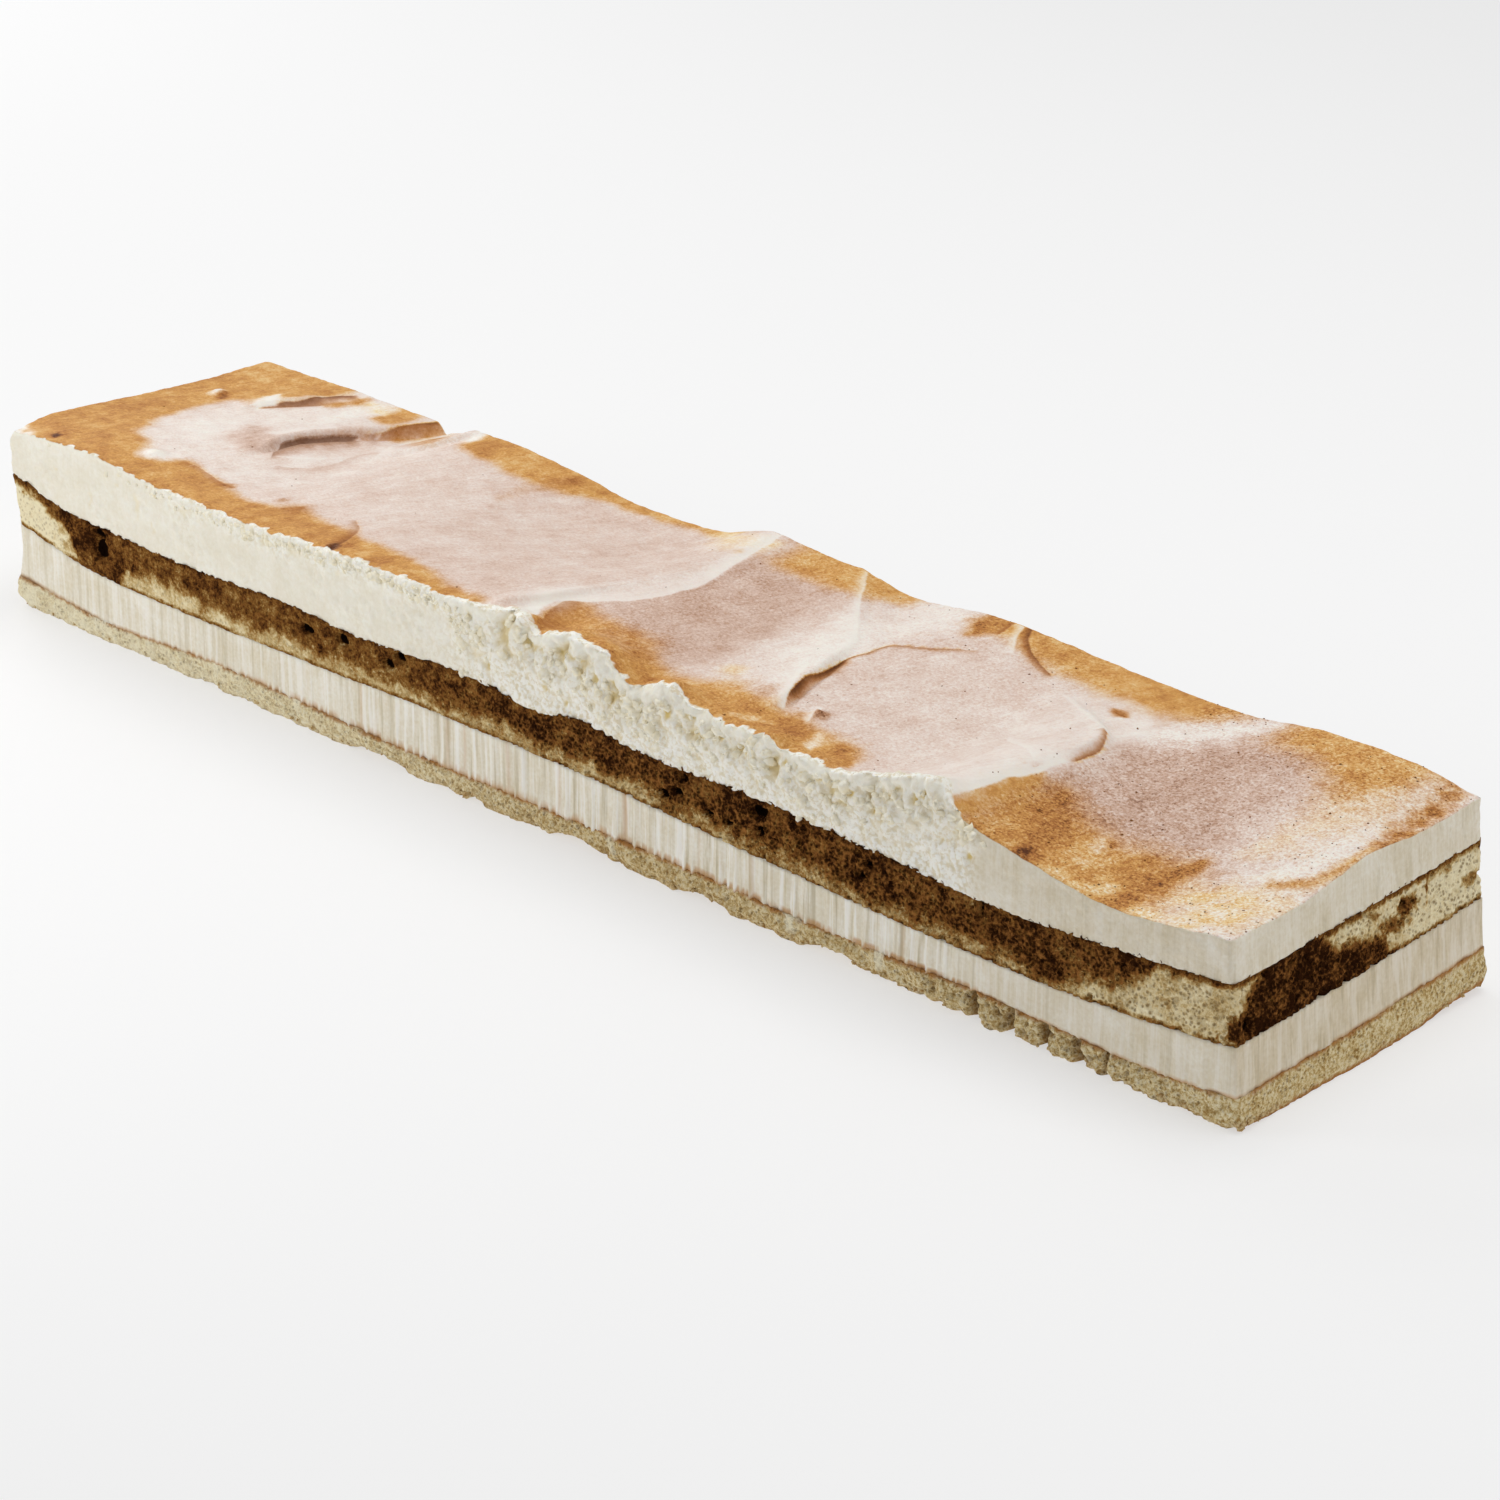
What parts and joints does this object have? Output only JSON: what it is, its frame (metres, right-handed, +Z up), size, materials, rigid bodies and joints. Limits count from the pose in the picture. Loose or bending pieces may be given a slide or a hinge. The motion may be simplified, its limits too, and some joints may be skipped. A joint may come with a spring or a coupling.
{
  "type": "tiramisu cake",
  "caption": "Long rectangular strip of layered tiramisu: pale sponge, cream, coffee-soaked sponge and a spread top cream dusted with cocoa, cut straight on its sides.",
  "frame": {"origin": "middle of the underside, on the surface that the cake stands on", "axes": "+X along the strip towards the end that leans back, -Y out of the long front cut face, +Z up"},
  "size_m": [0.4096, 0.0913, 0.0531],
  "materials": {
    "pale_sponge": "dry open crumb of pale yellow sponge with thin brown skins",
    "cream": "moist ivory cream, combed by the knife",
    "soaked_sponge": "damp porous sponge soaked brown with coffee, pale where dry",
    "dusted_cream": "ivory cream with a thin matt dusting of cocoa on top"
  },
  "bodies": {
    "root": {"bottom_sponge": "pale_sponge", "lower_cream": "cream", "upper_sponge": "soaked_sponge", "top_cream": "dusted_cream"}
  },
  "joints": []
}
